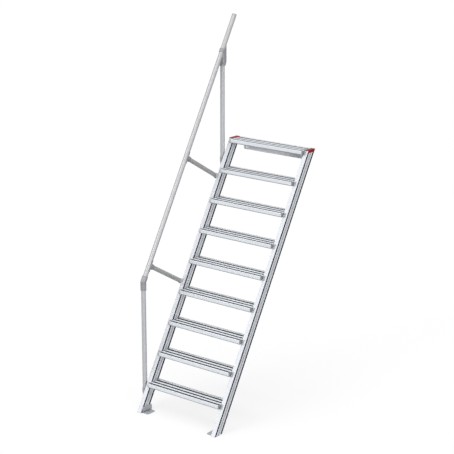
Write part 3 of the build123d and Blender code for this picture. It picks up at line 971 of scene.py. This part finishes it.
def grow(piece_name, tree_name, points, facings, values, finish_name, edges=()):
    """Runs a tree on points and keeps the result as a plain mesh that rides on the stair."""
    seed_mesh = bpy.data.meshes.new(piece_name + "_places")
    seed_mesh.from_pydata([tuple(point) for point in points], edges, [])
    attribute = seed_mesh.attributes.new("facing", "FLOAT_VECTOR", "POINT")
    for item, facing in zip(attribute.data, facings):
        item.vector = facing
    grower = bpy.data.objects.new(piece_name + "_grower", seed_mesh)
    bpy.context.scene.collection.objects.link(grower)
    modifier = grower.modifiers.new("shape", "NODES")
    tree = bpy.data.node_groups.get(tree_name) or TREE_MAKERS[tree_name]()
    modifier.node_group = tree
    sockets = {
        item.name: item.identifier
        for item in tree.interface.items_tree
        if item.item_type == "SOCKET" and item.in_out == "INPUT"
    }
    for label, value in dict(values, Seed=SEED, Finish=finish(finish_name)).items():
        modifier[sockets[label]] = value
    graph = bpy.context.evaluated_depsgraph_get()
    mesh = bpy.data.meshes.new_from_object(grower.evaluated_get(graph))
    grower.modifiers.remove(modifier)
    bpy.data.objects.remove(grower)
    bpy.data.meshes.remove(seed_mesh)
    if len(mesh.polygons) == 0:
        raise RuntimeError("nothing grew for " + piece_name)
    mesh.name = piece_name
    piece = bpy.data.objects.new(piece_name, mesh)
    bpy.context.scene.collection.objects.link(piece)
    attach(piece, "root")
    return piece


# Places on the stiles and the handrail

def stile_front(height):
    """Y of the front face of the stiles at this height."""
    return RIGHT_STILE[0].y + (height - GROUND) * GOING / RISE


def box_middle(node):
    """Middle of a node's box."""
    low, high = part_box(node)
    return (low + high) / 2


def stile_crossing(point):
    """Point of the stile's middle line that a strut through this point meets."""
    line_point = Vector((0.0, stile_front(point.z) + STILE_RUN / 2, point.z))
    gap = (line_point - point).dot(ACROSS)
    return point + ACROSS * gap


def bend_point():
    """Point where the axes of the handrail and the lower post meet."""
    post = box_middle("lower_post")
    return Vector((RAIL_X, post.y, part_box("elbow_connector")[0].z + ELBOW_LOWER_ARM))


def tee_point():
    """Point where the axes of the handrail and the upper post meet."""
    post = box_middle("upper_post")
    return Vector((RAIL_X, post.y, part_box("tee_connector")[0].z + TEE_DROP))


def rail_point(strut):
    """Point of the handrail axis that this strut leaves from."""
    middle = box_middle(strut)
    gap = (bend_point() - middle).dot(ACROSS)
    return middle + ACROSS * gap


# Operators

class STAIR_OT_finish_stiles(bpy.types.Operator):
    """Give the stiles and their caps their finish"""

    bl_idname = "stair.finish_stiles"
    bl_label = "Finish stiles and caps"

    def execute(self, context):
        dress(STILES, "stile_satin")
        dress(CAPS, "cap_red_plastic")
        return {"FINISHED"}


class STAIR_OT_finish_treads(bpy.types.Operator):
    """Give the treads, their brackets, the feet and the fixing rail their finish"""

    bl_idname = "stair.finish_treads"
    bl_label = "Finish treads and brackets"

    def execute(self, context):
        dress(TREADS, "tread_satin")
        dress(TREAD_BRACKETS, "tab_dull")
        dress(FEET, "bracket_mill")
        dress(["fixing_rail"], "fixing_rail_mill")
        return {"FINISHED"}


class STAIR_OT_finish_handrail(bpy.types.Operator):
    """Give the tubes, connectors and plugs their finish"""

    bl_idname = "stair.finish_handrail"
    bl_label = "Finish handrail"

    def execute(self, context):
        dress(["handrail_tube"], "rail_tube_satin")
        dress(POSTS, "post_tube_satin")
        dress(STRUTS, "strut_tube_dull")
        dress(CONNECTORS, "connector_cast")
        dress(RAIL_BRACKETS, "bracket_mill")
        dress(PLUGS, "plug_grey_plastic")
        return {"FINISHED"}


class STAIR_OT_add_tab_screws(bpy.types.Operator):
    """Add two button screws to every tab of the tread brackets"""

    bl_idname = "stair.add_tab_screws"
    bl_label = "Add tab screws"

    def execute(self, context):
        hardware = context.scene.stair_hardware
        points = []
        for name in TREADS:
            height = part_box(name)[1].z - TREAD_HEIGHT / 2
            for side in (-1, 1):
                x = side * (INNER_FACE + TAB_WIDTH / 2)
                middle = Vector((x, stile_front(height), height)) - ACROSS * TAB_THICKNESS
                for step in (-TAB_SCREW_STEP, TAB_SCREW_STEP):
                    points.append(middle + ALONG * step)
        grow(
            "tab_screws",
            "socket_head_screws",
            points,
            [-ACROSS] * len(points),
            {"Head Radius": hardware.screw_radius, "Head Height": hardware.screw_height},
            "screw_zinc",
        )
        return {"FINISHED"}


class STAIR_OT_add_bracket_screws(bpy.types.Operator):
    """Add the button screws of the strut brackets, post brackets and saddles"""

    bl_idname = "stair.add_bracket_screws"
    bl_label = "Add bracket screws"

    def execute(self, context):
        hardware = context.scene.stair_hardware
        points = []
        facings = []
        for strut in STRUTS:
            middle = stile_crossing(box_middle(strut))
            face = Vector((RAIL_X + TUBE_RADIUS, middle.y, middle.z))
            for along in (-STRUT_SCREW_ALONG, STRUT_SCREW_ALONG):
                for across in (-STRUT_SCREW_ACROSS, STRUT_SCREW_ACROSS):
                    points.append(face + ALONG * along + ACROSS * across)
                    facings.append(OUTSIDE)
            start = rail_point(strut)
            for along in (-SADDLE_SCREW_ALONG, SADDLE_SCREW_ALONG):
                points.append(start + ALONG * along + ACROSS * SADDLE_RADIUS)
                facings.append(ACROSS)
        for post in POSTS:
            bracket = box_middle(post + "_bracket")
            for side in (-1, 1):
                point = bracket + ALONG * (side * POST_SCREW_ALONG) + ACROSS * (side * POST_SCREW_ACROSS)
                point.x = RAIL_X + TUBE_RADIUS
                points.append(point)
                facings.append(OUTSIDE)
        grow(
            "bracket_screws",
            "socket_head_screws",
            points,
            facings,
            {"Head Radius": hardware.screw_radius, "Head Height": hardware.screw_height},
            "screw_zinc",
        )
        return {"FINISHED"}


class STAIR_OT_add_grub_screws(bpy.types.Operator):
    """Add the set screws of the elbow and tee connectors"""

    bl_idname = "stair.add_grub_screws"
    bl_label = "Add set screws"

    def execute(self, context):
        radius = context.scene.stair_hardware.grub_radius
        bend = bend_point()
        tee = tee_point()
        axes = [bend - UP * ELBOW_SCREW_DROP, bend + ALONG * ELBOW_SCREW_RISE]
        axes += [tee - UP * drop for drop in TEE_SCREW_DROPS]
        points = [point + INSIDE * (CONNECTOR_RADIUS - radius * GRUB_SUNK) for point in axes]
        grow(
            "grub_screws",
            "socket_head_screws",
            points,
            [INSIDE] * len(points),
            {"Head Radius": radius, "Head Height": radius * GRUB_HEIGHT},
            "screw_zinc",
        )
        return {"FINISHED"}


class STAIR_OT_add_foot_bolts(bpy.types.Operator):
    """Add two hexagon bolts with washers to the ear of each foot bracket"""

    bl_idname = "stair.add_foot_bolts"
    bl_label = "Add foot bolts"

    def execute(self, context):
        hardware = context.scene.stair_hardware
        points = []
        facings = []
        height = GROUND + FOOT_BOLT_HEIGHT
        front = stile_front(height)
        for side in (-1, 1):
            x = side * (INNER_FACE - FOOT_SHEET)
            for share in FOOT_BOLT_SHARES:
                points.append(Vector((x, front + STILE_RUN * share, height)))
                facings.append(Vector((-side, 0.0, 0.0)))
        grow(
            "foot_bolts",
            "hexagon_bolts",
            points,
            facings,
            {"Head Radius": hardware.bolt_radius, "Head Height": hardware.bolt_height},
            "screw_zinc",
        )
        return {"FINISHED"}


class STAIR_OT_add_rims(bpy.types.Operator):
    """Add the rounded rims at the ends of the connectors"""

    bl_idname = "stair.add_rims"
    bl_label = "Add connector rims"

    def execute(self, context):
        inset = context.scene.stair_hardware.rim_radius
        bend = bend_point()
        tee = tee_point()
        ends = [
            bend - UP * (ELBOW_LOWER_ARM - inset),
            bend + ALONG * (ELBOW_UPPER_ARM - inset),
            tee + ALONG * (TEE_COLLAR_HIGH - inset),
            tee - UP * (TEE_DROP - inset),
        ]
        sockets = [rail_point(strut) + ACROSS * (SADDLE_SOCKET - inset) for strut in STRUTS]
        for piece_name, points, facings, radius in (
            ("connector_rims", ends, [UP, ALONG, ALONG, UP], CONNECTOR_RADIUS),
            ("saddle_rims", sockets, [ACROSS, ACROSS], SOCKET_RADIUS),
        ):
            grow(
                piece_name,
                "connector_rims",
                points,
                facings,
                {"Ring Radius": radius - inset * RIM_SUNK, "Rim Radius": inset},
                "connector_cast",
            )
        return {"FINISHED"}


class STAIR_OT_add_welds(bpy.types.Operator):
    """Add the weld stitches between the fixing rail and the top tread"""

    bl_idname = "stair.add_welds"
    bl_label = "Add weld stitches"

    def execute(self, context):
        hardware = context.scene.stair_hardware
        low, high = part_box("fixing_rail")
        tread_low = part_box("top_tread")[0]
        span = high.x - low.x - 2 * WELD_INSET - WELD_LENGTH
        points = []
        edges = []
        for number in range(WELD_COUNT):
            start = low.x + WELD_INSET + span * number / (WELD_COUNT - 1)
            for height in (high.z, tread_low.z):
                edges.append((len(points), len(points) + 1))
                points.append(Vector((start, low.y, height)))
                points.append(Vector((start + WELD_LENGTH, low.y, height)))
        grow(
            "weld_stitches",
            "weld_stitches",
            points,
            [ALONG] * len(points),
            {"Weld Radius": hardware.weld_radius, "Ripple Length": RIPPLE_LENGTH},
            "bracket_mill",
            edges,
        )
        return {"FINISHED"}


def white_rays(tree):
    """Share of white that camera, mirror and glass rays see."""
    path = add_node(tree, "ShaderNodeLightPath").outputs
    seen = math_node(tree, "MAXIMUM", path["Is Camera Ray"], path["Is Glossy Ray"])
    return math_node(tree, "MAXIMUM", seen, path["Is Transmission Ray"])


def floor_material():
    """Pale floor that looks white to the camera and keeps the stair's shadow."""
    material, tree = empty_material("floor_pale")
    grey = (FLOOR_GREY, FLOOR_GREY, FLOOR_GREY, 1.0)
    matt = add_node(tree, "ShaderNodeBsdfDiffuse", {"Color": grey})
    glow = add_node(tree, "ShaderNodeEmission", {"Strength": times(tree, white_rays(tree), FLOOR_GLOW)})
    both = add_node(tree, "ShaderNodeAddShader", {0: matt.outputs["BSDF"], 1: glow.outputs["Emission"]})
    add_node(tree, "ShaderNodeOutputMaterial", {"Surface": both.outputs["Shader"]})
    return material


def studio_world(level):
    """Even room light of this level, which camera, mirror and glass rays see as white."""
    world = bpy.data.worlds.new("studio")
    world.use_nodes = True
    tree = world.node_tree
    tree.nodes.clear()
    light = add_node(tree, "ShaderNodeBackground", {"Color": ROOM_COLOUR, "Strength": level})
    white = add_node(tree, "ShaderNodeBackground", {"Color": WHITE})
    choice = add_node(
        tree,
        "ShaderNodeMixShader",
        {0: white_rays(tree), 1: light.outputs["Background"], 2: white.outputs["Background"]},
    )
    add_node(tree, "ShaderNodeOutputWorld", {"Surface": choice.outputs["Shader"]})
    return world


def sun(name, level, turn, softness):
    """Far soft light; its level is a share of plain white light, and its angles are in degrees."""
    lamp = bpy.data.lights.new(name, "SUN")
    lamp.energy = level * math.pi
    lamp.angle = math.radians(softness)
    holder = bpy.data.objects.new(name, lamp)
    holder.rotation_euler = [math.radians(angle) for angle in turn]
    bpy.context.scene.collection.objects.link(holder)


def photo_camera():
    """Camera that stands as the photograph's camera stood."""
    camera = bpy.data.cameras.new("camera")
    camera.lens = CAMERA_LENS
    camera.sensor_width = CAMERA_SENSOR
    camera.clip_start = CAMERA_NEAR
    camera.clip_end = CAMERA_FAR
    holder = bpy.data.objects.new("camera", camera)
    holder.location = CAMERA_PLACE
    tilt = math.radians(90.0 - CAMERA_ELEVATION)
    holder.rotation_euler = (tilt, 0.0, math.radians(CAMERA_AZIMUTH))
    bpy.context.scene.collection.objects.link(holder)
    return holder


class STAIR_OT_add_stage(bpy.types.Operator):
    """Add the pale floor, the lights and the camera"""

    bl_idname = "stair.add_stage"
    bl_label = "Add floor, lights and camera"

    def execute(self, context):
        stage = context.scene.stair_stage
        half = stage.floor_size / 2
        mesh = bpy.data.meshes.new("floor")
        corners = [(-half, -half), (half, -half), (half, half), (-half, half)]
        mesh.from_pydata([(x, y, GROUND) for x, y in corners], [], [(0, 1, 2, 3)])
        mesh.materials.append(floor_material())
        floor = bpy.data.objects.new("floor", mesh)
        context.scene.collection.objects.link(floor)

        context.scene.world = studio_world(stage.world_level)
        sun("key_light", stage.key_level, turn=(58.0, 0.0, -12.0), softness=24.0)
        sun("low_light", stage.low_level, turn=(86.0, 0.0, 60.0), softness=20.0)
        sun("top_light", stage.top_level, turn=(8.0, 0.0, 0.0), softness=60.0)
        context.scene.camera = photo_camera()
        context.scene.view_settings.view_transform = "Standard"
        return {"FINISHED"}


OPERATORS = [
    STAIR_OT_finish_stiles,
    STAIR_OT_finish_treads,
    STAIR_OT_finish_handrail,
    STAIR_OT_add_tab_screws,
    STAIR_OT_add_bracket_screws,
    STAIR_OT_add_grub_screws,
    STAIR_OT_add_foot_bolts,
    STAIR_OT_add_rims,
    STAIR_OT_add_welds,
    STAIR_OT_add_stage,
]
SETTINGS = {
    "stair_colours": StairColours,
    "stair_hardware": StairHardware,
    "stair_stage": StairStage,
}


class VIEW3D_PT_stair(bpy.types.Panel):
    """Panel that lists the settings and the steps"""

    bl_idname = "VIEW3D_PT_stair"
    bl_label = "Industrial Stair"
    bl_space_type = "VIEW_3D"
    bl_region_type = "UI"
    bl_category = "Stair"

    def draw(self, context):
        for label, group in SETTINGS.items():
            box = self.layout.box()
            for name in group.__annotations__:
                box.prop(getattr(context.scene, label), name)
        for operator in OPERATORS:
            self.layout.operator(operator.bl_idname)


CLASSES = [*SETTINGS.values(), *OPERATORS, VIEW3D_PT_stair]


def register():
    """Makes the classes and their settings known."""
    for item in CLASSES:
        bpy.utils.register_class(item)
    for label, group in SETTINGS.items():
        setattr(bpy.types.Scene, label, bpy.props.PointerProperty(type=group))


def unregister():
    """Takes the settings and the classes away again."""
    for label in SETTINGS:
        delattr(bpy.types.Scene, label)
    for item in reversed(CLASSES):
        bpy.utils.unregister_class(item)


def main():
    """Runs every step in order."""
    register()
    bpy.ops.stair.finish_stiles()
    bpy.ops.stair.finish_treads()
    bpy.ops.stair.finish_handrail()
    bpy.ops.stair.add_tab_screws()
    bpy.ops.stair.add_bracket_screws()
    bpy.ops.stair.add_grub_screws()
    bpy.ops.stair.add_foot_bolts()
    bpy.ops.stair.add_rims()
    bpy.ops.stair.add_welds()
    bpy.ops.stair.add_stage()


if __name__ == "__main__":
    main()
